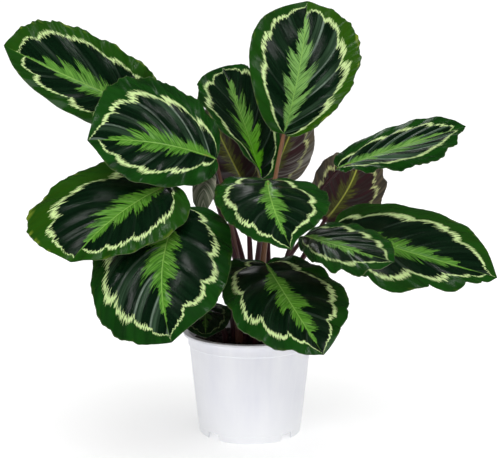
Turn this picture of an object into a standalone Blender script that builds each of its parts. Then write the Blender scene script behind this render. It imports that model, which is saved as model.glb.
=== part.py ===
# Potted prayer plant with painted round leaves, in a plastic nursery pot.
# Metres, +Z up. The origin is on the ground, on the axis of the pot.
# The front of the plant faces -Y.
import math

import bmesh
import bpy
import numpy as np
from mathutils import Matrix, Vector

MM = 0.001                         # the sizes below are in millimetres
GAP = 0.3                          # between pieces that touch

# The pot
RIM_RADIUS = 70.0
POT_HEIGHT = 107.0
LIP_HEIGHT = 3.0
COLLAR_RADIUS = 65.5               # just under the lip
COLLAR_BOTTOM = 93.5
COLLAR_STEP = 1.3                  # the wall under the collar stands in by this
BASE_RADIUS = 54.6                 # where the wall meets the foot
FOOT_HEIGHT = 7.6
FOOT_WIDTH = 2.8
POT_WALL = 1.5
FLOOR_UNDERSIDE = 8.2
FLOOR_THICKNESS = 1.6
POT_STEPS = 48
NOTCH_ANGLES = (45, 135, 225, 315)
NOTCH_WIDTH = 17.0
NOTCH_HEIGHT = 6.6
DRAIN_COUNT = 8
DRAIN_RADIUS = 3.5
DRAIN_CIRCLE = 38.0

# The soil
SOIL_CENTRE = 97.0
SOIL_EDGE = 95.0
FOOT_DEPTH = 9.0                   # how far a leaf stalk stands in the soil
HOLE_CLEARANCE = 0.4

# The leaf stalks
STALK_FOOT_RADIUS = 3.3
STALK_TOP_RADIUS = 1.9
STALK_STRAIGHT = 2.0               # it leaves the soil straight for this far
STALK_UNDER_BLADE = 5.0            # it runs on under the blade for this far
STALK_GAP = 0.45                   # and this far below it, because the midrib bends
STALK_POINTS = 9

# The leaf blades
BLADE_THICKNESS = 0.8
BLADE_TIP = 0.06                   # the drawn-out tip, as a share of the length
VEIN_SWEEP = 1.8                   # how early the veins leave the midrib
CELLS_ALONG = 24
CELLS_ACROSS = 3                   # from midrib to margin

# One entry for each leaf, in millimetres and degrees. base and tip are the ends of the
# midrib, and face is where the upper side looks. A pair gives the left and the right half
# of the blade, seen from above with the tip away. width is the half's width, skew moves
# its widest place to the base, lobe and over push the margin out behind the base and past
# the tip, blunt is lower for a rounder outline, and point draws a half in at the tip. arch
# and bow bend the midrib up and to the right. fold lifts a half from the midrib, base_fold
# only near the base, and curl rolls it down again. ripple is the height of the waves in
# the margin, waves their number. foot is where the stalk leaves the soil, lean how it
# starts, and pull how far it turns to the blade's own direction before it meets it.
LEAVES = {
    "far_left": dict(
        base=(-106, 25, 336), tip=(-249, 0, 401), face=(.1, -.9, .25), width=(35, 50),
        skew=(.2, -.1), lobe=(.07, .14), over=(0, .05), blunt=(.85, .75), point=(.4, .05),
        arch=6, bow=-4, fold=8, curl=20, ripple=(1.5, 2.5), waves=7, foot=(-4, 11),
        lean=(.1, 0, 1), pull=.7),
    "upper_left": dict(
        base=(-34, -16, 287), tip=(-159, -50, 308), face=(0, -.85, .5), width=(49, 73),
        skew=(-.1, -.25), blunt=(.95, .85), arch=8, bow=4, fold=(22, 8), curl=(35, 25),
        ripple=2, waves=6, foot=(-9, -1), lean=(.05, 0, 1), pull=.1),
    "left": dict(
        base=(-79, -40, 264), tip=(-170, -100, 196), face=(-.25, -.85, .5), width=(55, 74),
        skew=(.2, -.2), over=(0, .2), point=(.35, .05), arch=8, bow=4, fold=(25, 6),
        curl=(40, 20), ripple=2, waves=6, foot=(-17, -7), pull=.2),
    "lower_left": dict(
        base=(-66, -50, 243), tip=(-72, -140, 128), face=(-.1, -.9, .35), width=(65, 69),
        skew=0, lobe=(.14, .07), over=(0, .05), blunt=(.77, .8), point=(.6, .05), arch=10,
        bow=13, fold=8, curl=25, ripple=2, waves=5, foot=(-12, -17)),
    "top_left": dict(
        base=(12, 40, 261), tip=(-31, 78, 380), face=(.6, -.8, .1), width=(46, 43),
        skew=(-.25, -.32), over=(.05, .15), blunt=.75, point=(.3, 0), arch=3, bow=1, fold=10,
        base_fold=(52, 20), curl=25, ripple=2.5, waves=6, foot=(5, 11)),
    "top": dict(
        base=(35, 12, 311), tip=(60, 45, 448), face=(0, -1, .2), width=(53, 58.5),
        skew=(-.2, -.22), over=.02, blunt=(.8, .92), point=(.4, .05), arch=3, bow=4,
        fold=8, base_fold=(38, 40), curl=20, ripple=(1, 2.5), waves=7, foot=(10, 3)),
    "back": dict(
        base=(22, 60, 256), tip=(61, 135, 340), face=(.1, 1, .2), width=(32, 28), lobe=-.05,
        arch=3, fold=12, curl=25, ripple=2, waves=5, foot=(21, 19)),
    "upper_right": dict(
        base=(90, -10, 278), tip=(215, -30, 321), face=(0, -.45, .88), width=(38, 42),
        skew=(-.15, -.65), lobe=.12, over=(0, .04), blunt=(1.05, 1.5), point=(.3, .05), arch=1,
        fold=10, curl=15, ripple=(.8, 2), waves=7, foot=(28, 10)),
    "back_right": dict(
        base=(79, 30, 218), tip=(128, 130, 284), face=(-.39, .6, -.7), width=(40, 40),
        skew=(-.1, -.05), lobe=0, over=(.12, 0), bow=-6, fold=10, curl=20,
        ripple=2.5, waves=6, foot=(30, 1)),
    "front": dict(
        base=(18, -30, 267), tip=(38, -140, 214), face=(0, -.4, .9), width=(58, 52),
        skew=(.1, .25), lobe=(.16, .25), over=(-.1, 0), blunt=(.91, .85), point=(.9, .4),
        arch=8, bow=6, fold=4, curl=20, ripple=1.5,
        waves=6, foot=(3, -8)),
    "far_right": dict(
        base=(86, -5, 213), tip=(253, -20, 166), face=(0, -.6, .8), width=(69, 52),
        skew=(-.18, .4), lobe=(.07, -.06), point=(.3, .3), arch=5, bow=5, fold=10, curl=25, ripple=(1, 4),
        waves=(6, 4), phase=-.66, foot=(31, -8)),
    "right": dict(
        base=(54, -45, 213), tip=(131, -140, 203), face=(0, -.45, .88), width=(42, 39),
        skew=(.25, -.27), lobe=(.14, -.08), over=(0, .1), blunt=(.85, .63), point=(.4, .48),
        arch=2, bow=3, fold=8, curl=15, ripple=(1.2, 2.5), waves=6, foot=(18, -15), lean=(.1, .5, 1)),
    "lower_front": dict(
        base=(16, -45, 185), tip=(67, -150, 119), face=(0, -.5, .85), width=(57, 57),
        skew=(-.2, -.1), lobe=(.19, .3), over=(-.06, 0), blunt=(1.03, 1.15), point=(-.4, -.5),
        arch=8, bow=4, fold=6, curl=20, ripple=2, waves=6, foot=(5, -18)),
    "low_small": dict(
        base=(-46, -22, 138), tip=(-44, -58, 112), face=(0, -.4, .9), width=26, arch=3,
        fold=8, curl=10, ripple=1, waves=4, foot=(-25, -14)),
    "young": dict(
        base=(-44, -16, 272), tip=(-46, -35, 235), face=(-.5, -.8, .3), width=14, arch=3,
        fold=10, curl=20, ripple=.6, waves=3, foot=(-6, -12), lean=(.1, 0, 1), pull=.1),
    "back_left": dict(
        base=(-6, 96, 250), tip=(-50, 150, 335), face=(.1, .9, .2), width=(40, 50), arch=-3,
        fold=14, curl=25, ripple=2, waves=6, foot=(0, 21), pull=.3),
}

SMALL_LEAVES = ("low_small", "young")
LEAF_DEFAULTS = dict(
    skew=.12, lobe=.07, over=0, blunt=.85, point=.4, arch=0, bow=0, fold=10, base_fold=0,
    curl=20, ripple=2, waves=6, phase=0, lean=(0, 0, 1), pull=.5)


def clear_scene():
    for obj in list(bpy.data.objects):
        bpy.data.objects.remove(obj, do_unlink=True)


def new_collection(name):
    collection = bpy.data.collections.new(name)
    bpy.context.scene.collection.children.link(collection)
    return collection


def new_material(name, colour, roughness, metallic=0.0):
    material = bpy.data.materials.new(name)
    material.use_nodes = True
    shader = material.node_tree.nodes["Principled BSDF"]
    shader.inputs["Base Color"].default_value = (*colour, 1.0)
    shader.inputs["Roughness"].default_value = roughness
    shader.inputs["Metallic"].default_value = metallic
    return material


def add_object(name, data, collection, material=None):
    obj = bpy.data.objects.new(name, data)
    collection.objects.link(obj)
    if material is not None:
        data.materials.append(material)
    return obj


def mark_cutter(obj):
    obj.hide_render = True
    obj.display_type = 'WIRE'


def turned(name, profile, collection, material):
    """A profile of (radius, height) in millimetres, turned about Z.

    It runs from the axis on top, down the outer side, to the axis below.
    """
    mesh = bpy.data.meshes.new(name)
    points = [(radius * MM, 0, height * MM) for radius, height in profile]
    edges = [(i, i + 1) for i in range(len(points) - 1)]
    mesh.from_pydata(points, edges, [])
    obj = add_object(name, mesh, collection, material)
    screw = obj.modifiers.new("turn", 'SCREW')
    screw.steps = POT_STEPS
    screw.render_steps = POT_STEPS
    screw.use_merge_vertices = True
    screw.merge_threshold = 0.00001
    screw.use_smooth_shade = True
    return obj


def cut_with(obj, cutters, name):
    cut = obj.modifiers.new(name, 'BOOLEAN')
    cut.operation = 'DIFFERENCE'
    cut.operand_type = 'COLLECTION'
    cut.collection = cutters


def unit(vector):
    vector = np.asarray(vector, float)
    return vector / np.linalg.norm(vector)


# The pot: a thin turned wall with a rolled lip, a collar and a notched foot

def wall_radius(height):
    """The outer radius of the tapered wall between the foot and the collar."""
    top = COLLAR_RADIUS - 0.6 - COLLAR_STEP
    share = (height - FOOT_HEIGHT) / (COLLAR_BOTTOM - 1 - FOOT_HEIGHT)
    return BASE_RADIUS + (top - BASE_RADIUS) * share


def inner_radius(height):
    return wall_radius(height) - POT_WALL


def pot_profile():
    floor_top = FLOOR_UNDERSIDE + FLOOR_THICKNESS
    lip_bottom = POT_HEIGHT - LIP_HEIGHT
    collar_foot = COLLAR_RADIUS - 0.6
    foot_radius = BASE_RADIUS - 0.6
    inside = [
        (0, floor_top),
        (inner_radius(floor_top) - 1.2, floor_top),
        (inner_radius(floor_top + 1.2), floor_top + 1.2),
        (inner_radius(COLLAR_BOTTOM - 0.6), COLLAR_BOTTOM - 0.6),
        (collar_foot - POT_WALL, COLLAR_BOTTOM + 0.9),
        (COLLAR_RADIUS - POT_WALL, lip_bottom + 0.9),
        (COLLAR_RADIUS - POT_WALL + 0.2, POT_HEIGHT - 0.7),
        (COLLAR_RADIUS - POT_WALL + 0.9, POT_HEIGHT),
    ]
    outside = [
        (RIM_RADIUS - 0.8, POT_HEIGHT),
        (RIM_RADIUS, POT_HEIGHT - 0.8),
        (RIM_RADIUS, lip_bottom + 0.6),
        (RIM_RADIUS - 0.6, lip_bottom),
        (COLLAR_RADIUS, lip_bottom),
        (collar_foot, COLLAR_BOTTOM),
        (wall_radius(COLLAR_BOTTOM - 1), COLLAR_BOTTOM - 1),
        (BASE_RADIUS, FOOT_HEIGHT + 0.6),
        (foot_radius, FOOT_HEIGHT),
        (foot_radius - 0.6, 0.5),
        (foot_radius - 1.1, 0),
        (foot_radius - FOOT_WIDTH, 0),
        (foot_radius - FOOT_WIDTH, FLOOR_UNDERSIDE),
        (0, FLOOR_UNDERSIDE),
    ]
    return inside + outside


def build_pot(parts, cutters):
    plastic = new_material("white_plastic", (0.80, 0.80, 0.83), 0.42)
    pot = turned("pot", pot_profile(), parts, plastic)
    for angle in NOTCH_ANGLES:
        turn = math.radians(angle)
        mesh = bpy.data.meshes.new("notch")
        bm = bmesh.new()
        # a square frustum, wide at the ground, stretched through the foot ring
        bmesh.ops.create_cone(
            bm, cap_ends=True, segments=4, radius1=(NOTCH_WIDTH / 2 + 1) * math.sqrt(2) * MM,
            radius2=(NOTCH_WIDTH / 2 - 1) * math.sqrt(2) * MM, depth=2 * NOTCH_HEIGHT * MM,
            matrix=Matrix.Rotation(math.radians(45), 4, 'Z'))
        bm.to_mesh(mesh)
        bm.free()
        notch = add_object("notch_%d" % angle, mesh, cutters)
        notch.location = (BASE_RADIUS * MM * math.cos(turn), BASE_RADIUS * MM * math.sin(turn), 0)
        notch.rotation_euler = (0, 0, turn)
        mark_cutter(notch)
    for i in range(DRAIN_COUNT):
        turn = 2 * math.pi * (i + 0.5) / DRAIN_COUNT
        mesh = bpy.data.meshes.new("drain")
        bm = bmesh.new()
        bmesh.ops.create_cone(
            bm, cap_ends=True, segments=12, radius1=DRAIN_RADIUS * MM,
            radius2=DRAIN_RADIUS * MM, depth=4 * FLOOR_THICKNESS * MM)
        bm.to_mesh(mesh)
        bm.free()
        drain = add_object("drain_%d" % i, mesh, cutters)
        drain.location = (DRAIN_CIRCLE * MM * math.cos(turn), DRAIN_CIRCLE * MM * math.sin(turn),
                          (FLOOR_UNDERSIDE + FLOOR_THICKNESS / 2) * MM)
        mark_cutter(drain)
    cut_with(pot, cutters, "notches and drains")
    return pot


# The soil: it fills the pot, with a low crown and a plain hole for each stalk

def soil_height(radius):
    share = radius / RIM_RADIUS
    return SOIL_CENTRE - (SOIL_CENTRE - SOIL_EDGE) * share ** 2


def soil_profile():
    bottom = FLOOR_UNDERSIDE + FLOOR_THICKNESS + GAP
    brim = inner_radius(COLLAR_BOTTOM) - GAP
    crown = [(radius, soil_height(radius)) for radius in (0, 36, 52)]
    side = [
        (brim, soil_height(brim)),
        (brim, COLLAR_BOTTOM - 0.6),
        (inner_radius(bottom + 1.2) - GAP, bottom + 1.2),
        (inner_radius(bottom) - 1.2 - GAP, bottom),
        (0, bottom),
    ]
    return crown + side


def build_soil(parts, cutters):
    peat = new_material("dark_soil", (0.022, 0.016, 0.012), 0.95)
    soil = turned("soil", soil_profile(), parts, peat)
    bottom = SOIL_CENTRE - FOOT_DEPTH - GAP
    height = SOIL_CENTRE + 5 - bottom
    for name, leaf in LEAVES.items():
        x, y = leaf["foot"]
        mesh = bpy.data.meshes.new("hole")
        bm = bmesh.new()
        radius = (STALK_FOOT_RADIUS + HOLE_CLEARANCE) * MM
        bmesh.ops.create_cone(bm, cap_ends=True, segments=10, radius1=radius, radius2=radius,
                              depth=height * MM)
        bm.to_mesh(mesh)
        bm.free()
        hole = add_object("hole_" + name, mesh, cutters)
        hole.location = (x * MM, y * MM, (bottom + height / 2) * MM)
        mark_cutter(hole)
    cut_with(soil, cutters, "stalk holes")
    return soil


# The leaves: the midrib is a quadratic curve, and the blade hangs on it

def leaf_value(leaf, key):
    return leaf.get(key, LEAF_DEFAULTS.get(key))


def half_value(leaf, key, side):
    """The value for one half: side is -1 for the left half and 1 for the right."""
    value = leaf_value(leaf, key)
    if isinstance(value, tuple):
        return value[1] if side > 0 else value[0]
    return value


def leaf_frame(leaf):
    """The midrib's three control points, and the directions of its face and right side."""
    base = np.array(leaf["base"], float)
    tip = np.array(leaf["tip"], float)
    along = unit(tip - base)
    face = np.array(leaf["face"], float)
    face = unit(face - face @ along * along)
    right = np.cross(along, face)
    bend = leaf_value(leaf, "arch") * face + leaf_value(leaf, "bow") * right
    return base, (base + tip) / 2 + 2 * bend, tip, face


def midrib(leaf, share):
    base, middle, tip, _ = leaf_frame(leaf)
    share = np.asarray(share, float)[..., None]
    return (1 - share) ** 2 * base + 2 * share * (1 - share) * middle + share ** 2 * tip


def midrib_length(leaf):
    points = midrib(leaf, np.linspace(0, 1, 41))
    return np.linalg.norm(np.diff(points, axis=0), axis=1).sum()


def flat_outline(leaf, side, vein, out, length):
    """Where a vein at 0 to 1 along the blade, followed out from 0 to 1, lies when flat.

    The margin is an ellipse whose halves are skewed and blunted. A vein is a parabola from
    the midrib to the margin that leaves the midrib at a low angle and turns outwards.
    """
    turn = np.pi * vein
    back, forth = 1 + np.cos(turn), 1 - np.cos(turn)
    lobe = half_value(leaf, "lobe", side)
    over = half_value(leaf, "over", side)
    near_tip = np.clip((vein - .8) / .2, 0, 1) ** 2
    body = length / (1 + BLADE_TIP)
    swell = np.sin(turn) * (over * forth ** 2 - lobe * back ** 2) / 2.6
    edge_x = body * (forth / 2 + swell + BLADE_TIP * near_tip)
    edge_y = half_value(leaf, "width", side) * np.sin(turn) ** half_value(leaf, "blunt", side)
    edge_y *= 1 + half_value(leaf, "skew", side) * np.cos(turn)
    edge_y *= 1 - half_value(leaf, "point", side) * near_tip
    root_x = length * vein ** VEIN_SWEEP
    turn_x = root_x + .3 * (edge_x - root_x)
    x = (1 - out) ** 2 * root_x + 2 * out * (1 - out) * turn_x + out ** 2 * edge_x
    y = 2 * out * (1 - out) * .55 * edge_y + out ** 2 * edge_y
    return x, y


def blade_points(leaf, side, vein, out):
    """The points of one half of a blade, in millimetres.

    Across the midrib the half is an arc that starts at its fold and curls down, and the
    margin is waved by a sine along the veins that grows with the distance out.
    """
    base, middle, tip, face = leaf_frame(leaf)
    length = midrib_length(leaf)
    x, y = flat_outline(leaf, side, vein, out, length)
    share = x / length
    tangent = (1 - share)[..., None] * (middle - base) + share[..., None] * (tip - middle)
    tangent /= np.linalg.norm(tangent, axis=-1, keepdims=True)
    normal = face - (tangent @ face)[..., None] * tangent
    normal /= np.linalg.norm(normal, axis=-1, keepdims=True)
    right = np.cross(tangent, normal)
    near_base = np.clip(1 - share, 0, 1) ** 1.5
    fold = np.radians(half_value(leaf, "fold", side)
                      + half_value(leaf, "base_fold", side) * near_base)
    bend = np.radians(half_value(leaf, "curl", side)) / half_value(leaf, "width", side)
    rise = (np.cos(fold - bend * y) - np.cos(fold)) / bend
    reach = (np.sin(fold) - np.sin(fold - bend * y)) / bend
    phase = 2 * np.pi * half_value(leaf, "waves", side) * vein + leaf_value(leaf, "phase")
    wave = np.sin(phase + .8 * side) * np.sin(np.pi * vein) ** .4
    rise = rise + half_value(leaf, "ripple", side) * out ** 2.2 * wave
    return midrib(leaf, share) + side * reach[..., None] * right + rise[..., None] * normal


def build_blade(name, leaf, parts, material):
    """A grid laid on the blade and given its thickness by Solidify."""
    along = CELLS_ALONG - 8 if name in SMALL_LEAVES else CELLS_ALONG
    bm = bmesh.new()
    bmesh.ops.create_grid(bm, x_segments=along, y_segments=2 * CELLS_ACROSS, size=1)
    vein = np.clip([(v.co.x + 1) / 2 for v in bm.verts], 0, 1)
    across = np.array([v.co.y for v in bm.verts])
    right_half = across >= 0
    points = np.empty((len(vein), 3))
    for side, chosen in ((1, right_half), (-1, ~right_half)):
        points[chosen] = blade_points(leaf, side, vein[chosen], np.abs(across[chosen]))
    for vert, point in zip(bm.verts, points * MM):
        vert.co = Vector(point)
    # base and tip are a row of points in one place, and the split is alike on both faces
    bmesh.ops.remove_doubles(bm, verts=bm.verts, dist=0.00005)
    bmesh.ops.triangulate(bm, faces=bm.faces, quad_method='SHORT_EDGE')
    mesh = bpy.data.meshes.new("leaf_" + name)
    bm.to_mesh(mesh)
    bm.free()
    mesh.shade_smooth()
    blade = add_object("leaf_" + name, mesh, parts, material)
    solid = blade.modifiers.new("thickness", 'SOLIDIFY')
    solid.thickness = BLADE_THICKNESS * MM
    solid.offset = 0
    return blade


def stalk_points(leaf):
    """A straight foot in the soil, then a cubic curve that ends under the blade's base."""
    base, middle, _, face = leaf_frame(leaf)
    along = unit(middle - base)
    under = STALK_TOP_RADIUS + BLADE_THICKNESS / 2 + STALK_GAP
    end = base - face * under
    x, y = leaf["foot"]
    foot = np.array((x, y, SOIL_CENTRE - FOOT_DEPTH))
    start = np.array((x, y, SOIL_CENTRE + STALK_STRAIGHT))
    reach = np.linalg.norm(end - start)
    pull = leaf_value(leaf, "pull")
    arrive = unit(along * pull + unit(end - start) * (1 - pull))
    leave = start + unit(leaf_value(leaf, "lean")) * reach * .38
    meet = end - arrive * reach * .3
    t = np.linspace(0, 1, STALK_POINTS)[:, None]
    curve = (1 - t) ** 3 * start + 3 * t * (1 - t) ** 2 * leave
    curve = curve + 3 * t ** 2 * (1 - t) * meet + t ** 3 * end
    return np.vstack([foot, curve, end + along * STALK_UNDER_BLADE])


def build_stalk(name, leaf, parts, material):
    """A tapered tube along the stalk's curve."""
    points = stalk_points(leaf)
    curve = bpy.data.curves.new("stalk_" + name, 'CURVE')
    curve.dimensions = '3D'
    curve.bevel_depth = MM
    curve.bevel_resolution = 2
    curve.use_fill_caps = True
    spline = curve.splines.new('POLY')
    spline.points.add(len(points) - 1)
    last = len(points) - 1
    for i, point in enumerate(points):
        spline.points[i].co = (*(point * MM), 1)
        taper = max(i - 1, 0) / (last - 1)
        spline.points[i].radius = (1 - taper) * STALK_FOOT_RADIUS + taper * STALK_TOP_RADIUS
    return add_object("stalk_" + name, curve, parts, material)


def build_leaves(parts):
    green = new_material("leaf_green", (0.020, 0.090, 0.030), 0.35)
    maroon = new_material("stalk_maroon", (0.110, 0.030, 0.035), 0.45)
    for name, leaf in LEAVES.items():
        build_blade(name, leaf, parts, green)
        build_stalk(name, leaf, parts, maroon)


def main():
    clear_scene()
    parts = new_collection("potted_prayer_plant")
    pot_cutters = new_collection("pot_cutters")
    soil_cutters = new_collection("soil_cutters")
    build_pot(parts, pot_cutters)
    build_soil(parts, soil_cutters)
    build_leaves(parts)


main()
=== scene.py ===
# A prayer plant with painted round leaves in a white nursery pot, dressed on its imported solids.
# The frame is in metres with +Z up, and the plant faces -Y. Sizes below are in millimetres
# and degrees, as in the part, and mm turns them into metres.
import math

import bmesh
import bpy
import numpy as np
from mathutils import Matrix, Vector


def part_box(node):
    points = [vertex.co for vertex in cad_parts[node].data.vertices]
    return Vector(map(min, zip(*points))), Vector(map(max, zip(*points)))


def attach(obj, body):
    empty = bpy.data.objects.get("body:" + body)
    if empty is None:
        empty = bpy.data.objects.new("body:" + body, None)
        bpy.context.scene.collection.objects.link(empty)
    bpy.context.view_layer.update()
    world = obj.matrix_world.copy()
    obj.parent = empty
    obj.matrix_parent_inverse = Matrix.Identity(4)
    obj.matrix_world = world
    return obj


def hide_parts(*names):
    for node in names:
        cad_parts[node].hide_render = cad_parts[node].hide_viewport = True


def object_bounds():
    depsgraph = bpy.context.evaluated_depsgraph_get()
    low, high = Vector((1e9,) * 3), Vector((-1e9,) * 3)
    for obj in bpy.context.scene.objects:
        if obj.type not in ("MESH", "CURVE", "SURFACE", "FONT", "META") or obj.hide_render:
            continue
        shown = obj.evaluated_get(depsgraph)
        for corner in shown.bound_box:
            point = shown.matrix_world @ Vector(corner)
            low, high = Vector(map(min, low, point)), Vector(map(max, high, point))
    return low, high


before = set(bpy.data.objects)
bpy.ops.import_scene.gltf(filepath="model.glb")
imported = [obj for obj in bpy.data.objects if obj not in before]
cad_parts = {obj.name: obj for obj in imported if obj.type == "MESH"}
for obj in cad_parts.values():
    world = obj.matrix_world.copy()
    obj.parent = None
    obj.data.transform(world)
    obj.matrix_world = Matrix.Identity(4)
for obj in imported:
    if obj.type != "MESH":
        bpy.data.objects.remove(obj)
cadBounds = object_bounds()
mm = 0.001
print("frame loaded with", len(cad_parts), "nodes")


# Meshes, pieces and nodes

def unit(vector):
    vector = np.asarray(vector, float)
    return vector / np.linalg.norm(vector, axis=-1, keepdims=True)


def clamped(value):
    return np.clip(value, 0, 1)


def quadratic(start, middle, end, t):
    # a parabola from start to end, bent to the middle:
    # (1-t)^2 start + 2t(1-t) middle + t^2 end
    return (1 - t) ** 2 * start + 2 * t * (1 - t) * middle + t ** 2 * end


def turned(radius, angle, height):
    # points at a radius from the Z axis, an angle round it and a height
    places = np.broadcast_arrays(radius * np.cos(angle), radius * np.sin(angle), height)
    return np.stack(places, -1)


def tubeFaces(rows, columns):
    # quads round a closed tube of rows by columns points, and a fan to a pole at each end;
    # the two poles are the last two points
    r, c = np.meshgrid(np.arange(rows - 1), np.arange(columns), indexing="ij")
    n = (c + 1) % columns
    quads = np.stack([r * columns + c, r * columns + n,
                      (r + 1) * columns + n, (r + 1) * columns + c], -1).reshape(-1, 4)
    c = np.arange(columns)
    n = (c + 1) % columns
    top = (rows - 1) * columns
    start = np.stack([n, c, np.full(columns, rows * columns)], -1)
    end = np.stack([top + c, top + n, np.full(columns, rows * columns + 1)], -1)
    return quads, np.vstack([start, end])


def addObject(name, data):
    item = bpy.data.objects.new(name, data)
    bpy.context.scene.collection.objects.link(item)
    return item


def makePiece(name, points, faces, materials, nodes, slots=None):
    # points in metres; the faces are turned round if the volume they enclose is negative
    quads, triangles = faces
    corners = np.vstack([quads[:, [0, 1, 2]], quads[:, [0, 2, 3]], triangles])
    a, b, c = (points[corners[:, k]] for k in range(3))
    if np.einsum("ij,ij->", a, np.cross(b, c)) < 0:
        quads, triangles = quads[:, ::-1], triangles[:, ::-1]
    mesh = bpy.data.meshes.new(name)
    mesh.from_pydata(points, [], quads.tolist() + triangles.tolist())
    mesh.shade_smooth()
    for material in materials:
        mesh.materials.append(material)
    if slots is not None:
        mesh.polygons.foreach_set("material_index", np.asarray(slots, np.int32))
    mesh.update()
    piece = addObject(name, mesh)
    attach(piece, "root")
    if nodes:
        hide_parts(*nodes)
    return piece


def addVectors(piece, name, values):
    data = piece.data.attributes.new(name, "FLOAT_VECTOR", "POINT")
    data.data.foreach_set("vector", np.asarray(values, np.float32).ravel())


def srgb(r, g, b):
    value = np.array([r, g, b]) / 255
    linear = np.where(value < .04045, value / 12.92, ((value + .055) / 1.055) ** 2.4)
    return (*(float(v) for v in linear), 1.0)


class Mixer:
    # short calls that add nodes to one node tree; each gives the socket of its result

    def __init__(self, tree, shader):
        self.tree, self.shader = tree, tree.nodes[shader]

    def put(self, socket, value):
        if isinstance(value, bpy.types.NodeSocket):
            self.tree.links.new(value, socket)
        else:
            socket.default_value = value

    def set(self, socket, value):
        self.put(self.shader.inputs[socket], value)

    def node(self, kind, inputs=(), output=0, **settings):
        node = self.tree.nodes.new(kind)
        for key, value in settings.items():
            setattr(node, key, value)
        for socket, value in inputs:
            self.put(node.inputs[socket], value)
        return node.outputs[output]

    def calc(self, operation, *values, clamp=False):
        return self.node("ShaderNodeMath", enumerate(values), operation=operation, use_clamp=clamp)

    def times(self, first, second, clamp=False):
        return self.calc("MULTIPLY", first, second, clamp=clamp)

    def plus(self, first, second):
        return self.calc("ADD", first, second)

    def step(self, value, low, high, start=0.0, end=1.0):
        return self.node("ShaderNodeMapRange", enumerate((value, low, high, start, end)))

    def mix(self, share, first, second):
        return self.node("ShaderNodeMix", [(0, share), (6, first), (7, second)], output=2,
                         data_type="RGBA")

    def noise(self, vector, stretch=(1, 1, 1), detail=2, roughness=.5, scale=1):
        moved = self.node("ShaderNodeMapping", [("Vector", vector), ("Scale", stretch)])
        return self.node("ShaderNodeTexNoise", [("Vector", moved), ("Scale", scale),
                                                ("Detail", detail), ("Roughness", roughness)])

    def attribute(self, name):
        return self.node("ShaderNodeAttribute", output=1, attribute_name=name)

    def parts(self, vector):
        return tuple(self.node("ShaderNodeSeparateXYZ", [(0, vector)]).node.outputs)

    def bump(self, height, strength, distance):
        self.set("Normal", self.node("ShaderNodeBump", [
            ("Height", height), ("Strength", strength), ("Distance", distance)]))


def startMaterial(name, roughness, specular):
    material = bpy.data.materials.new(name)
    material.use_nodes = True
    mat = Mixer(material.node_tree, "Principled BSDF")
    mat.set("Roughness", roughness)
    mat.set("Specular IOR Level", specular)
    return material, mat


# Leaf shapes: the same midribs, outlines, folds and waves as in the part

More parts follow.
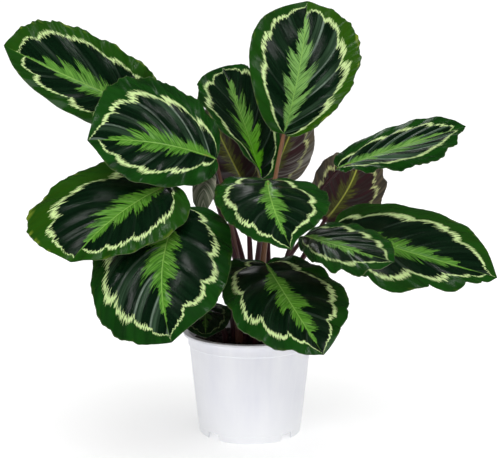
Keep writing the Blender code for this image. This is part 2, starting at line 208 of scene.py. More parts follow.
leafShapes = {
    "far_left": dict(
        base=(-106, 25, 336), tip=(-249, 0, 401), face=(.1, -.9, .25), width=(35, 50),
        skew=(.2, -.1), lobe=(.07, .14), over=(0, .05), blunt=(.85, .75), point=(.4, .05), arch=6,
        bow=-4, fold=8, ripple=(1.5, 2.5), waves=7, foot=(-4, 11), lean=(.1, 0, 1), pull=.7),
    "upper_left": dict(
        base=(-34, -16, 287), tip=(-159, -50, 308), face=(0, -.85, .5), width=(49, 73),
        skew=(-.1, -.25), blunt=(.95, .85), arch=8, bow=4, fold=(22, 8), curl=(35, 25),
        foot=(-9, -1), lean=(.05, 0, 1), pull=.1),
    "left": dict(
        base=(-79, -40, 264), tip=(-170, -100, 196), face=(-.25, -.85, .5), width=(55, 74),
        skew=(.2, -.2), over=(0, .2), point=(.35, .05), arch=8, bow=4, fold=(25, 6),
        curl=(40, 20), foot=(-17, -7), pull=.2),
    "lower_left": dict(
        base=(-66, -50, 243), tip=(-72, -140, 128), face=(-.1, -.9, .35), width=(65, 69), skew=0,
        lobe=(.14, .07), over=(0, .05), blunt=(.77, .8), point=(.6, .05), arch=10, bow=13, fold=8,
        curl=25, waves=5, foot=(-12, -17)),
    "top_left": dict(
        base=(12, 40, 261), tip=(-31, 78, 380), face=(.6, -.8, .1), width=(46, 43),
        skew=(-.25, -.32), over=(.05, .15), blunt=.75, point=(.3, 0), arch=3, bow=1,
        baseFold=(52, 20), curl=25, ripple=2.5, foot=(5, 11)),
    "top": dict(
        base=(35, 12, 311), tip=(60, 45, 448), face=(0, -1, .2), width=(53, 58.5),
        skew=(-.2, -.22), over=.02, blunt=(.8, .92), point=(.4, .05), arch=3, bow=4, fold=8,
        baseFold=(38, 40), ripple=(1, 2.5), waves=7, foot=(10, 3)),
    "back": dict(
        base=(22, 60, 256), tip=(61, 135, 340), face=(.1, 1, .2), width=(32, 28), lobe=-.05,
        arch=3, fold=12, curl=25, waves=5, foot=(21, 19)),
    "upper_right": dict(
        base=(90, -10, 278), tip=(215, -30, 321), face=(0, -.45, .88), width=(38, 42),
        skew=(-.15, -.65), lobe=.12, over=(0, .04), blunt=(1.05, 1.5), point=(.3, .05), arch=1,
        curl=15, ripple=(.8, 2), waves=7, foot=(28, 10)),
    "back_right": dict(
        base=(79, 30, 218), tip=(128, 130, 284), face=(-.39, .6, -.7), width=40, skew=(-.1, -.05),
        lobe=0, over=(.12, 0), bow=-6, ripple=2.5, foot=(30, 1)),
    "front": dict(
        base=(18, -30, 267), tip=(38, -140, 214), face=(0, -.4, .9), width=(58, 52),
        skew=(.1, .25), lobe=(.16, .25), over=(-.1, 0), blunt=(.91, .85), point=(.9, .4), arch=8,
        bow=6, fold=4, ripple=1.5, foot=(3, -8)),
    "far_right": dict(
        base=(86, -5, 213), tip=(253, -20, 166), face=(0, -.6, .8), width=(69, 52),
        skew=(-.18, .4), lobe=(.07, -.06), point=.3, arch=5, bow=5, curl=25, ripple=(1, 4),
        waves=(6, 4), phase=-.66, foot=(31, -8)),
    "right": dict(
        base=(54, -45, 213), tip=(131, -140, 203), face=(0, -.45, .88), width=(42, 39),
        skew=(.25, -.27), lobe=(.14, -.08), over=(0, .1), blunt=(.85, .63), point=(.4, .48),
        arch=2, bow=3, fold=8, curl=15, ripple=(1.2, 2.5), foot=(18, -15), lean=(.1, .5, 1)),
    "lower_front": dict(
        base=(16, -45, 185), tip=(67, -150, 119), face=(0, -.5, .85), width=(57, 57),
        skew=(-.2, -.1), lobe=(.19, .3), over=(-.06, 0), blunt=(1.03, 1.15), point=(-.4, -.5),
        arch=8, bow=4, fold=6, foot=(5, -18)),
    "low_small": dict(
        base=(-46, -22, 138), tip=(-44, -58, 112), face=(0, -.4, .9), width=26, arch=3, fold=8,
        curl=10, ripple=1, waves=4, foot=(-25, -14)),
    "young": dict(
        base=(-44, -16, 272), tip=(-46, -35, 235), face=(-.5, -.8, .3), width=14, arch=3,
        ripple=.6, waves=3, foot=(-6, -12), lean=(.1, 0, 1), pull=.1),
    "back_left": dict(
        base=(-6, 96, 250), tip=(-50, 150, 335), face=(.1, .9, .2), width=(40, 50), arch=-3,
        fold=14, curl=25, foot=(0, 21), pull=.3),
}
shapeDefaults = dict(
    skew=.12, lobe=.07, over=0, blunt=.85, point=.4, arch=0, bow=0, fold=10, baseFold=0,
    curl=20, ripple=2, waves=6, phase=0, lean=(0, 0, 1), pull=.5)

# Leaf paint, where a pair gives the left and the right half. cusps are where the pale ring dips
# in between two scallops, as the place along the blade and the share of the way out to the
# margin, and bulge is how far a scallop swells beyond the line between its cusps. feather gives,
# for each tuft of green strokes, where it ends and how far out it runs. slant is how far a vein
# leans to the tip, notch how deep the margin is nicked in line with the cusps, frill its fine
# waves, and grow how far its lobes stand out. yellow yellows the margin, partly its own tone and
# partly painted light shining through the thin edge. pale, lime and beige shift the colours, and
# dark is painted shade that darkens a whole leaf lying in the shade of others. ring is the
# strength of the ring, wide its width, and the sheen value the strength of the painted sheen:
# greyer bands and paler crease lines between the veins, painted highlights.
leafPaint = {
    "far_left": dict(
        cusps=(((.14, .3), (.33, .55), (.45, .57), (.585, .5), (.775, .5), (.93, .05)),
               ((.14, .4), (.33, .56), (.46, .6), (.63, .7), (.82, .6), (.975, .05))),
        bulge=(.2, .09), slant=(.1, .2), yellow=(.15, .3), notch=(.01, .03), frill=(.2, 1.6),
        grow=(0, .045), pale=.2, wide=(.85, .7),
        feather=(((.2, .06), (.45, .25), (.63, .3), (.77, .18), (.86, .06)),
                 ((.2, .08), (.45, .2), (.53, .25), (.64, .36), (.73, .32), (.83, .24),
                  (.92, .06)))),
    "upper_left": dict(
        cusps=(((.17, .12), (.33, .24), (.5, .52), (.655, .62), (.81, .57), (.97, .05)),
               ((.15, .3), (.38, .45), (.53, .56), (.7, .57), (.83, .56), (.905, .52),
                (1.0, .35))),
        bulge=(.15, .12), slant=(.12, .33), notch=(.012, .02), frill=(.4, 1.6), paintedSheen=(.2, .8),
        grow=(0, .025),
        feather=(((.44, .04), (.58, .28), (.735, .34), (.86, .28), (.94, .12)),
                 ((.2, .06), (.47, .15), (.6, .2), (.7, .3), (.8, .2), (.92, .09)))),
    "left": dict(
        cusps=(((.17, .12), (.27, .33), (.45, .59), (.615, .66), (.77, .62), (.945, .05)),
               ((.18, .3), (.45, .47), (.71, .61), (.83, .66), (.91, .6), (.99, .2))),
        bulge=(.15, .13), slant=(.12, .3), yellow=(.2, .38), notch=(.012, .03), frill=(.3, 1.0),
        paintedSheen=.03, grow=(.01, .035), wide=(.9, .75),
        feather=(((.24, .05), (.395, .18), (.57, .34), (.72, .34), (.86, .3), (.94, .1)),
                 ((.3, .06), (.45, .12), (.6, .2), (.71, .25), (.8, .22), (.9, .12)))),
    "lower_left": dict(
        cusps=(((.15, .18), (.3, .42), (.505, .6), (.675, .6), (.847, .45), (.99, .15)),
               ((.15, .3), (.35, .6), (.5, .68), (.65, .67), (.8, .6), (.9, .52), (.99, .15))),
        bulge=(.16, .12), slant=(.12, .22), notch=(.02, .025), frill=(.4, .8), paintedSheen=(.1, .8),
        grow=(.01, .03), wide=(1, .85), dark=.1,
        feather=(((.42, .04), (.56, .24), (.73, .29), (.87, .22), (.93, .08)),
                 ((.42, .06), (.55, .22), (.685, .32), (.78, .22), (.9, .1)))),
    "top_left": dict(
        cusps=(((.14, .35), (.32, .57), (.5, .7), (.66, .73), (.84, .66), (.995, .1)),
               ((.14, .3), (.3, .52), (.47, .64), (.66, .72), (.86, .69), (1.0, .15))),
        bulge=(.1, .12), slant=(.2, .15), pale=.45, lime=1, notch=(.02, .035), frill=(.6, 1.2),
        grow=(.03, .01), wide=.85,
        feather=(((.2, .2), (.4, .5), (.53, .5), (.64, .42), (.75, .22), (.87, .24), (.94, .1)),
                 ((.28, .1), (.42, .26), (.58, .35), (.7, .32), (.8, .34), (.92, .22)))),
    "top": dict(
        cusps=(((.14, .15), (.34, .45), (.54, .6), (.705, .66), (.865, .63), (.99, .12)),
               ((.03, .45), (.196, .6), (.37, .63), (.565, .62), (.69, .61), (.86, .57),
                (.99, .12))),
        bulge=(.1, .13), slant=(.14, .33), pale=1, notch=(.006, .022), frill=(.2, 1.4),
        yellow=(.15, .6), paintedSheen=(.2, 1), grow=(.02, .03),
        feather=(((.2, .06), (.42, .19), (.58, .28), (.73, .31), (.87, .21), (.95, .1)),
                 ((.22, .08), (.33, .24), (.48, .32), (.64, .3), (.79, .22), (.93, .16)))),
    "back": dict(notch=.015, paintedSheen=.7),
    "upper_right": dict(
        cusps=(((.06, .12), (.37, .37), (.53, .5), (.645, .59), (.77, .59), (.87, .57),
                (.975, .02)),
               ((.14, .25), (.44, .42), (.6, .55), (.76, .59), (.87, .6), (.98, .05))),
        bulge=.1, slant=(.25, .35), pale=.5, notch=(.006, .03), frill=(.3, 1.4),
        paintedSheen=(1.3, 2.6), grow=(.04, .01),
        feather=(((.2, .1), (.45, .2), (.62, .23), (.78, .23), (.9, .14)),
                 ((.3, .12), (.48, .22), (.66, .32), (.8, .34), (.9, .12)))),
    "back_right": dict(notch=.03, paintedSheen=.1, dark=.15),
    "front": dict(
        cusps=(((.1, .1), (.4, .36), (.575, .61), (.714, .67), (.815, .58), (.9, .45),
                (.995, .12)),
               ((.12, .3), (.29, .5), (.555, .65), (.715, .63), (.855, .6), (1.0, .4))),
        bulge=(.13, .15), slant=(.16, .1), pale=.15, notch=(.02, .025), frill=(.5, .8),
        feather=(((.15, .05), (.41, .07), (.57, .2), (.72, .3), (.83, .23), (.93, .13)),
                 ((.38, .06), (.5, .17), (.615, .28), (.78, .27), (.91, .2)))),
    "far_right": dict(
        cusps=(((.1, .32), (.31, .44), (.53, .56), (.67, .62), (.77, .55), (.985, .25)),
               ((.14, .3), (.3, .5), (.57, .52), (.736, .5), (.858, .5), (.97, .05))),
        bulge=(.1, .19), slant=(.25, .1), yellow=(.2, .1), notch=(.008, .17), frill=(.3, .4),
        grow=(.04, 0),
        feather=(((.1, .1), (.3, .2), (.47, .2), (.62, .19), (.75, .19), (.86, .15)),
                 ((.1, .1), (.3, .25), (.5, .3), (.67, .32), (.8, .34), (.91, .14)))),
    "right": dict(
        cusps=(((.12, .4), (.26, .53), (.455, .6), (.587, .64), (.755, .6), (1.0, .1)),
               ((.2, .25), (.38, .42), (.575, .5), (.795, .43), (.909, .4), (1.0, .25))),
        bulge=(.09, .17), slant=(.3, .2), ring=.85, pale=.35, notch=(.01, .1), frill=(.5, .6),
        paintedSheen=.7,
        feather=(((.15, .06), (.35, .17), (.5, .17), (.65, .21), (.8, .14)),
                 ((.35, .08), (.48, .16), (.62, .27), (.76, .32), (.89, .2)))),
    "lower_front": dict(
        cusps=(((.15, .2), (.4, .42), (.674, .6), (.811, .54), (1.0, .35)),
               ((.1, .4), (.24, .46), (.465, .57), (.644, .57), (.808, .52), (.919, .38),
                (1.0, .25))),
        bulge=(.16, .17), slant=(.12, .15), notch=(.06, .05), frill=(.5, .7),
        feather=(((.42, .06), (.58, .17), (.73, .32), (.885, .32), (.95, .15)),
                 ((.35, .05), (.56, .26), (.715, .29), (.86, .26), (.94, .1)))),
    "low_small": dict(ring=.5, dark=.8),
    "young": dict(ring=.2, beige=1, feather=(((.9, .04),),) * 2),
    "back_left": dict(notch=.02, dark=.5, ring=.5),
}
paintDefaults = dict(
    cusps=(((.14, .25), (.32, .5), (.48, .58), (.66, .6), (.83, .54), (.97, .05)),) * 2,
    feather=(((.15, .06), (.34, .2), (.5, .28), (.68, .3), (.84, .22), (.93, .1)),) * 2,
    bulge=.14, slant=.18, ring=1, yellow=.05, pale=0, lime=0, dark=0, beige=0, notch=.01,
    frill=.4, paintedSheen=.12, grow=.01, wide=1)

blade = dict(
    along=132, across=26,               # cells from base to tip, and from midrib to margin
    smallAlong=72, small=("young", "low_small"),
    thickness=.6, marginThickness=.3, rolled=1.012,
    tip=.06,                            # the drawn-out tip, as a share of the length
    veinSweep=1.8, veinTurn=.3,         # how early a vein leaves the midrib, and where it turns
    fullLength=110,                     # shorter blades have less relief
    pillow=1.8,                         # how far the blade swells between two main veins
    ribs=34, ribHeight=.05,             # the small veins, along each half
    crimps=9, crimpHeight=.9,           # short waves of the margin
    nicks=9, nickDepth=.006,            # fine nicks in it, as a share of the half's width
    groove=.35, grooveWidth=1.2,        # the midrib is pressed in on top
    ridge=1.0, ridgeWidth=.75,          # and stands out underneath
    boxRoom=4)                          # how far the margin may leave the box of its node
ringMark = dict(half=.03, gain=.02, tipNarrowing=.35, tipFrom=.93)
featherMark = dict(stem=.04, swell=1.25, least=.006)


def halfOf(table, defaults, name, side):
    # all the values of one half of a leaf: of a pair, the first is for the left half
    values = dict(defaults, **table[name])
    return {key: value[int(side > 0)] if isinstance(value, tuple) and len(value) == 2 else value
            for key, value in values.items()}


def shapeOf(name, side=1):
    return halfOf(leafShapes, shapeDefaults, name, side)


def paintOf(name, side=1):
    return halfOf(leafPaint, paintDefaults, name, side)


def midribOf(name):
    # the control points of the midrib's quadratic curve, and where its upper side looks
    shape = shapeOf(name)
    base, tip = np.array(shape["base"], float), np.array(shape["tip"], float)
    along = unit(tip - base)
    face = np.array(shape["face"], float)
    face = unit(face - face @ along * along)
    bend = shape["arch"] * face + shape["bow"] * np.cross(along, face)
    return base, (base + tip) / 2 + 2 * bend, tip, face


def midribPoints(name, share):
    # the midrib is a quadratic curve from base to tip
    return quadratic(*midribOf(name)[:3], np.asarray(share, float)[..., None])


def midribFrame(name, share):
    # the midrib's direction, its upper side and its right side at a share of its length
    base, middle, tip, face = midribOf(name)
    share = np.asarray(share, float)[..., None]
    tangent = unit((1 - share) * (middle - base) + share * (tip - middle))
    normal = unit(face - (tangent @ face)[..., None] * tangent)
    return tangent, normal, np.cross(tangent, normal)


def flatOutline(name, side, vein, out, length):
    # the margin is an ellipse, skewed and blunted; a vein is a parabola from the midrib to it
    shape = shapeOf(name, side)
    turn = np.pi * vein
    back, forth = 1 + np.cos(turn), 1 - np.cos(turn)
    nearTip = clamped((vein - .8) / .2) ** 2
    swell = np.sin(turn) * (shape["over"] * forth ** 2 - shape["lobe"] * back ** 2) / 2.6
    edgeX = length / (1 + blade["tip"]) * (forth / 2 + swell + blade["tip"] * nearTip)
    edgeY = shape["width"] * np.sin(turn) ** shape["blunt"]
    edgeY = edgeY * (1 + shape["skew"] * np.cos(turn)) * (1 - shape["point"] * nearTip)
    rootX = length * vein ** blade["veinSweep"]
    turnX = rootX + blade["veinTurn"] * (edgeX - rootX)
    return quadratic(rootX, turnX, edgeX, out), quadratic(0, .55 * edgeY, edgeY, out)


def lobesAt(name, side, vein, out):
    # a vein leans to the tip by its slant, less so near the tip; t runs from 0 to 1 between
    # the two cusps of the scallop that the point lies in
    look = paintOf(name, side)
    cusps = np.array(look["cusps"])
    lean = look["slant"] * clamped((1.05 - vein) / .3)
    place = vein - lean * (out - .55)
    lobe = np.clip(np.searchsorted(cusps[:, 0], place) - 1, 0, len(cusps) - 2)
    start, end = cusps[lobe], cusps[lobe + 1]
    width = end[..., 0] - start[..., 0]
    return place, lean, cusps, lobe, start, end, clamped((place - start[..., 0]) / width)


def scallops(name, side, vein, out):
    # how far out of the ring a point lies, in shares of the half's width, and out of the feather,
    # in shares of its reach: between two cusps the ring is a line plus half an ellipse, and a
    # tuft of the feather is a blunt saw tooth
    look = paintOf(name, side)
    place, lean, cusps, lobe, start, end, t = lobesAt(name, side, vein, out)
    arch = clamped(1 - (2 * t - 1) ** 2) ** .6
    drop = np.where(lobe == len(cusps) - 2, t ** 2.5, t)
    level = start[..., 1] + (end[..., 1] - start[..., 1]) * drop
    swell = look["bulge"] * np.clip((end - start)[..., 0] / .15, .5, 1.2)
    before = np.clip((place - cusps[0, 0]) / .04, -3, 0)
    after = np.clip((cusps[-1, 0] - place) / .04, -3, 0)
    ring = level + swell * arch + .3 * (before + after)
    tufts = np.array(look["feather"])
    foot = vein - lean * (out - .1)
    ends = np.concatenate([[0], tufts[:, 0]])
    tuft = np.clip(np.searchsorted(ends, foot) - 1, 0, len(tufts) - 1)
    u = clamped((foot - ends[tuft]) / (ends[tuft + 1] - ends[tuft]))
    saw = u ** .4 * clamped((1 - u) / .1) ** .5
    stem = featherMark["stem"]
    feather = np.where(foot < ends[-1], stem + (tufts[tuft, 1] - stem) * saw, .01)
    fade = clamped((vein - .03) / .1) * clamped((.99 - vein) / .08)
    feather = feather * fade * featherMark["swell"] + featherMark["least"]
    mark = ringMark
    ringHalf = mark["half"] + mark["gain"] * t * clamped((1.02 - t) / .15)
    ringHalf = ringHalf * (1 - mark["tipNarrowing"] * (place > mark["tipFrom"])) * look["wide"]
    return out / feather - 1, out - ring, ringHalf, t, place


def nicked(name, side, vein, out):
    # the margin is drawn in at the cusps, with round lobes between them, and finely nicked, and
    # it stands out by its growth
    look = paintOf(name, side)
    t = lobesAt(name, side, vein, np.ones_like(out))[-1]
    lobes = 1 - np.sqrt(clamped(1 - (2 * t - 1) ** 2))
    turn = blade["nicks"] * np.pi * vein
    fine = 3.2 - 5 * np.abs(np.sin(turn + side)) - 1.2 * np.cos(6 * turn)
    inner = clamped(np.sin(np.pi * vein) * 3)
    draw = look["notch"] * lobes - look["grow"] + blade["nickDepth"] * look["frill"] * fine
    return out * (1 - draw * inner * clamped(out) ** 3)


def bladeGrid(name, side, vein, out):
    # across the midrib a half is an arc that starts at its fold and curls down; the margin is
    # waved by a sine along the veins, and the blade swells between the veins
    shape, look = shapeOf(name, side), paintOf(name, side)
    steps = np.diff(midribPoints(name, np.linspace(0, 1, 41)), axis=0)
    length = np.linalg.norm(steps, axis=1).sum()
    x, y = flatOutline(name, side, vein, nicked(name, side, vein, out), length)
    share = x / length
    _, normal, right = midribFrame(name, share)
    fold = np.radians(shape["fold"] + shape["baseFold"] * clamped(1 - share) ** 1.5)
    bend = np.radians(shape["curl"]) / shape["width"]
    rise = (np.cos(fold - bend * y) - np.cos(fold)) / bend
    reach = (np.sin(fold) - np.sin(fold - bend * y)) / bend
    phase = 2 * np.pi * shape["waves"] * vein + shape["phase"]
    wave = np.sin(phase + .8 * side) * clamped(np.sin(np.pi * vein)) ** .4
    rise = rise + shape["ripple"] * out ** 2.2 * wave
    featherGap, ringGap, ringHalf, t, place = scallops(name, side, vein, out)
    inner = clamped(np.sin(np.pi * vein)) * clamped(out * 4)
    inner = inner * clamped((1 - out) * 3)
    size = min(1, length / blade["fullLength"])
    turn = 2 * np.pi * blade["crimps"] * vein
    crimp = blade["crimpHeight"] * (np.sin(turn + 2 * side) + .5 * np.sin(3 * turn))
    rise = rise + size * look["frill"] * out ** 4 * crimp * np.sin(np.pi * vein)
    rise = rise + size * inner * (blade["pillow"] * (np.sin(np.pi * t) ** .7 - .5)
                                  + blade["ribHeight"] * np.cos(2 * np.pi * blade["ribs"] * place))
    groove = blade["groove"] * np.exp(-(y / blade["grooveWidth"]) ** 2)
    rise = rise - size * groove * np.sin(np.pi * vein) ** .5
    points = midribPoints(name, share) + side * reach[..., None] * right + rise[..., None] * normal
    paint = np.stack([featherGap, ringGap, ringHalf], -1)
    # the strength of the painted sheen, a painted highlight, carried to the material
    paintedSheen = np.broadcast_to(look["paintedSheen"], t.shape)
    lobe = np.stack([np.abs(2 * t - 1), np.sin(2 * np.pi * t), paintedSheen], -1)
    space = np.stack([place * length / 10, side * y / 10, out], -1)
    return points, paint, space, lobe


def buildBlade(name, materials):
    # rows run round the blade, over the top from the left margin to the right and back below
    along = blade["smallAlong"] if name in blade["small"] else blade["along"]
    vein = np.arange(1, along) / along
    t = np.linspace(0, 1, blade["across"] - 1)
    out = np.concatenate([.6 * t ** 1.6 + .4 * t, [blade["rolled"]]]) / blade["rolled"]
    halves = []
    for side in (-1, 1):
        v, o = np.meshgrid(vein, out, indexing="ij")
        halves.append(bladeGrid(name, side, v, o))
    points, paint, space, lobe = (np.concatenate([left[:, :0:-1], right], 1)
                                  for left, right in zip(*halves))
    normal = unit(np.cross(np.gradient(points, axis=0), np.gradient(points, axis=1)))
    upper = midribOf(name)[3]
    normal *= np.sign(np.median(normal @ upper))
    outs = space[..., 2].copy()
    ends = np.sqrt(clamped(np.sin(np.pi * vein) * 8))[:, None]
    half = np.where(outs > .999, blade["marginThickness"], blade["thickness"]) / 2 * ends
    size = np.clip(1.15 - vein, .1, 1)[:, None] * clamped(np.sin(np.pi * vein) * 6)[:, None]
    ridge = blade["ridge"] * size * np.exp(-(space[..., 1] * 10 / blade["ridgeWidth"]) ** 2)
    top = points + normal * half[..., None]
    under = points - normal * (half + ridge)[..., None]
    rows, columns = points.shape[0], 2 * points.shape[1]
    base, _, tip, _ = midribOf(name)
    allPoints = np.concatenate([top, under[:, ::-1]], 1).reshape(-1, 3)
    low, high = (np.array(corner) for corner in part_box("leaf_" + name))
    low = np.maximum(low - blade["boxRoom"] * mm, cadBounds[0])
    high = np.minimum(high + blade["boxRoom"] * mm, cadBounds[1])
    allPoints = np.clip(np.vstack([allPoints, base, tip]) * mm, low, high)
    isUnder = np.arange(columns) >= columns // 2 - 1
    slots = np.tile(isUnder, rows + 1)
    piece = makePiece("blade_" + name, allPoints, tubeFaces(rows, columns), materials,
                      ["leaf_" + name], slots)
    seed = list(leafShapes).index(name) * 1.7

    def around(values, baseValue, tipValue):
        both = np.concatenate([values, values[:, ::-1]], 1).reshape(-1, 3)
        return np.vstack([both, baseValue, tipValue])

    addVectors(piece, "paint", around(paint, (-.02, -.5, .02), (.5, .5, .01)))
    space[..., 2] = seed
    addVectors(piece, "veinSpace", around(space, (0, 0, seed), (12, 0, seed)))
    addVectors(piece, "lobe", around(lobe, (0, 0, 0), (0, 0, 0)))
    yellow = np.where(space[..., 1] < 0, *(paintOf(name, side)["yellow"] for side in (-1, 1)))
    tint = np.stack([yellow, outs, np.broadcast_to(vein[:, None], outs.shape)], -1)
    addVectors(piece, "tint", around(tint, (.05, 0, 0), (.05, 0, 1)))


# Leaf materials, one pair for each leaf because the greens differ

leafColours = dict(
    # the sheen and crease colours are painted highlights between the veins
    centre=srgb(3, 21, 7), centreLight=srgb(10, 38, 16), paintedSheen=srgb(60, 86, 62),
    crease=srgb(130, 150, 132), margin=srgb(18, 66, 14), marginDeep=srgb(5, 36, 10),
    # the yellow is partly the margin's own tone and partly painted light shining through it
    yellow=srgb(54, 96, 2), ring=srgb(202, 226, 154), feather=srgb(88, 144, 44),
    featherLight=srgb(136, 184, 86), featherDeep=srgb(40, 92, 20), pale=srgb(132, 178, 98),
    lime=srgb(98, 178, 18), midrib=srgb(158, 204, 96), edge=srgb(84, 104, 60),
    spot=srgb(150, 168, 56),
    underCentre=srgb(56, 27, 31), underCentreDeep=srgb(24, 13, 12),
    underMargin=srgb(92, 82, 64), underMarginDeep=srgb(32, 28, 16), underRing=srgb(196, 204, 134),
    # the underside's sheen colour is a painted highlight
    underPaintedSheen=srgb(150, 146, 138), underFeather=srgb(92, 100, 26),
    underFeatherDeep=srgb(48, 46, 16), underMidrib=srgb(158, 164, 62),
    beige=srgb(150, 150, 132), beigeDeep=srgb(70, 82, 62))
strokeMarks = dict(
    strokes=(6, .45, 3), fine=(12, .8, 5), jags=(8.5, .6, 4),    # along, across and for each leaf
    featherCut=(.55, .4), ringCut=(.085, .045), ringShift=.06, ringWear=-.014)


def teeth(mat, value, steep):
    # 0 in sharp ridges where a noise passes its middle, rising to 1 on both sides
    off = mat.calc("ABSOLUTE", mat.calc("SUBTRACT", value, .5))
    return mat.times(off, steep, clamp=True)


def paintMasks(mat):
    # the strokes are a noise that is short along the blade and long along the veins, and they
    # cut teeth into the feather and the ring
    marks = strokeMarks
    featherGap, ringGap, ringHalf = mat.parts(mat.attribute("paint"))
    space = mat.attribute("veinSpace")
    strokes, fine = mat.noise(space, marks["strokes"]), mat.noise(space, marks["fine"])
    coarse, thin = teeth(mat, strokes, 5), teeth(mat, fine, 5)
    wide, narrow = marks["featherCut"]
    cut = mat.plus(mat.times(coarse, wide), mat.times(thin, narrow))
    feather = mat.step(mat.plus(featherGap, cut), -.04, .06, 1, 0)
    jags = teeth(mat, mat.noise(space, marks["jags"], 1, .4), 4)
    wide, narrow = marks["ringCut"]
    cut = mat.plus(mat.times(jags, wide), mat.times(thin, narrow))
    off = mat.plus(ringGap, mat.calc("SUBTRACT", cut, marks["ringShift"]))
    reach = mat.plus(ringHalf, mat.times(coarse, marks["ringWear"]))
    past = mat.calc("SUBTRACT", mat.calc("ABSOLUTE", off), reach)
    ring = mat.step(past, -.005, .006, 1, 0)
    outside = mat.step(off, -.01, .02)
    return space, strokes, fine, feather, ring, outside


def finishLeaf(mat, look, colour, strokes, height, strength, distance):
    if look["beige"]:
        pale = mat.mix(mat.step(strokes, .35, .65), leafColours["beigeDeep"],
                       leafColours["beige"])
        colour = mat.mix(look["beige"], colour, pale)
    mat.set("Base Color", colour)
    mat.bump(height, strength, distance)


def makeLeafUpper(name):
    look = paintOf(name)
    c = leafColours
    material, mat = startMaterial("leafUpper_" + name, .3, .35)
    space, strokes, fine, feather, ring, outside = paintMasks(mat)
    yellow, out, vein = mat.parts(mat.attribute("tint"))
    _, across, _ = mat.parts(space)
    cloud = mat.noise(space, scale=.5)
    bands = mat.noise(space, (2.2, .12, 2))
    centre = mat.mix(mat.step(strokes, .4, .75), c["centre"], c["centreLight"])
    crease, side, paintedSheen = mat.parts(mat.attribute("lobe"))
    # painted sheen: greyer streaky bands over one half of each lobe, and paler lines along the
    # creases between the lobes, painted highlights as strong as the sheen value
    paintedSheenBand = mat.times(mat.step(side, .1, 1), mat.step(strokes, .35, .65, .35, 1))
    paintedSheenBand = mat.times(paintedSheenBand, mat.step(cloud, .35, .6, .3, 1))
    centre = mat.mix(mat.times(paintedSheenBand, paintedSheen), centre, c["paintedSheen"])
    creaseHighlight = mat.times(mat.step(crease, .84, .97), mat.step(cloud, .4, .6, .2, .9))
    centre = mat.mix(mat.times(creaseHighlight, paintedSheen), centre, c["crease"])
    deep = mat.plus(mat.step(cloud, .35, .65, -.2, .4), mat.step(bands, .3, .7, -.1, .5))
    margin = mat.mix(deep, c["margin"], c["marginDeep"])
    # the margin turns yellow by the half's yellow amount, in bands: partly its own tone, partly
    # painted light shining through the thin edge
    yellowingAndBacklight = mat.times(yellow, mat.step(bands, .3, .7, .7, 1.2))
    margin = mat.mix(yellowingAndBacklight, margin, c["yellow"])
    colour = mat.mix(outside, centre, margin)
    colour = mat.mix(mat.times(ring, look["ring"]), colour, c["ring"])
    green = mat.mix(look["pale"], c["feather"], c["pale"])
    green = mat.mix(mat.step(strokes, .5, .66, 0, .7), green, c["featherLight"])
    green = mat.mix(mat.step(fine, .38, .55, .8, 0), green, c["featherDeep"])
    lime = mat.times(mat.step(vein, .75, .35), look["lime"])
    green = mat.mix(lime, green, c["lime"])
    colour = mat.mix(feather, colour, green)
    rib = mat.step(mat.calc("ABSOLUTE", across), .03, .08, .5, 0)
    rib = mat.times(rib, mat.step(vein, .98, .8))
    colour = mat.mix(rib, colour, c["midrib"])
    colour = mat.mix(mat.step(out, .985, .997, 0, .7), colour, c["edge"])
    spots = mat.times(mat.step(mat.noise(space, scale=1.3), .56, .66), yellow)
    spots = mat.times(spots, mat.step(out, .93, .97))
    colour = mat.mix(spots, colour, c["spot"])
    # dark is painted shade: the whole leaf is darkened towards near black where it lies in the
    # shade of others
    if look["dark"]:
        colour = mat.mix(look["dark"], colour, c["centre"])
    rough = mat.plus(mat.step(strokes, .3, .7, .13, .2), mat.step(cloud, .3, .7, 0, .06))
    mat.set("Roughness", rough)
    height = mat.plus(mat.noise(space, (9, .2, 2)), mat.times(fine, .4))
    finishLeaf(mat, look, colour, strokes, height, .25, .0006)
    return material


def makeLeafUnder(name):
    look = paintOf(name)
    c = leafColours
    material, mat = startMaterial("leafUnder_" + name, .42, .45)
    space, strokes, fine, feather, ring, outside = paintMasks(mat)
    _, across, _ = mat.parts(space)
    bands = mat.noise(space, (2.6, .15, 2), 3)
    streaks = mat.plus(mat.times(bands, .6), mat.times(strokes, .4))
    centre = mat.mix(mat.step(streaks, .4, .6), c["underCentre"], c["underCentreDeep"])
    margin = mat.mix(mat.step(streaks, .42, .58), c["underMargin"], c["underMarginDeep"])
    colour = mat.mix(outside, centre, margin)
    _, _, paintedSheen = mat.parts(mat.attribute("lobe"))
    # glare: painted grey highlight streaks on the underside, as strong as the sheen value
    glare = mat.times(mat.step(streaks, .5, .62), paintedSheen)
    colour = mat.mix(glare, colour, c["underPaintedSheen"])
    # dark is painted shade, darkening the whole underside towards near black
    if look["dark"]:
        colour = mat.mix(look["dark"], colour, c["underCentreDeep"])
    worn = mat.times(mat.step(bands, .35, .6, 1, .4), look["ring"])
    colour = mat.mix(mat.times(ring, worn), colour, c["underRing"])
    green = mat.mix(mat.step(fine, .4, .6), c["underFeatherDeep"], c["underFeather"])
    colour = mat.mix(mat.times(feather, .85), colour, green)
    rib = mat.step(mat.calc("ABSOLUTE", across), .04, .09, .9, 0)
    colour = mat.mix(rib, colour, c["underMidrib"])
    finishLeaf(mat, look, colour, strokes, mat.noise(space, (7, .15, 2)), .5, .001)
    return material


for leafName in leafShapes:
    buildBlade(leafName, [makeLeafUpper(leafName), makeLeafUnder(leafName)])
print("blades built:", len(leafShapes))


# Leaf stalks: tapered, with a clasping sheath below and a swollen joint under the blade

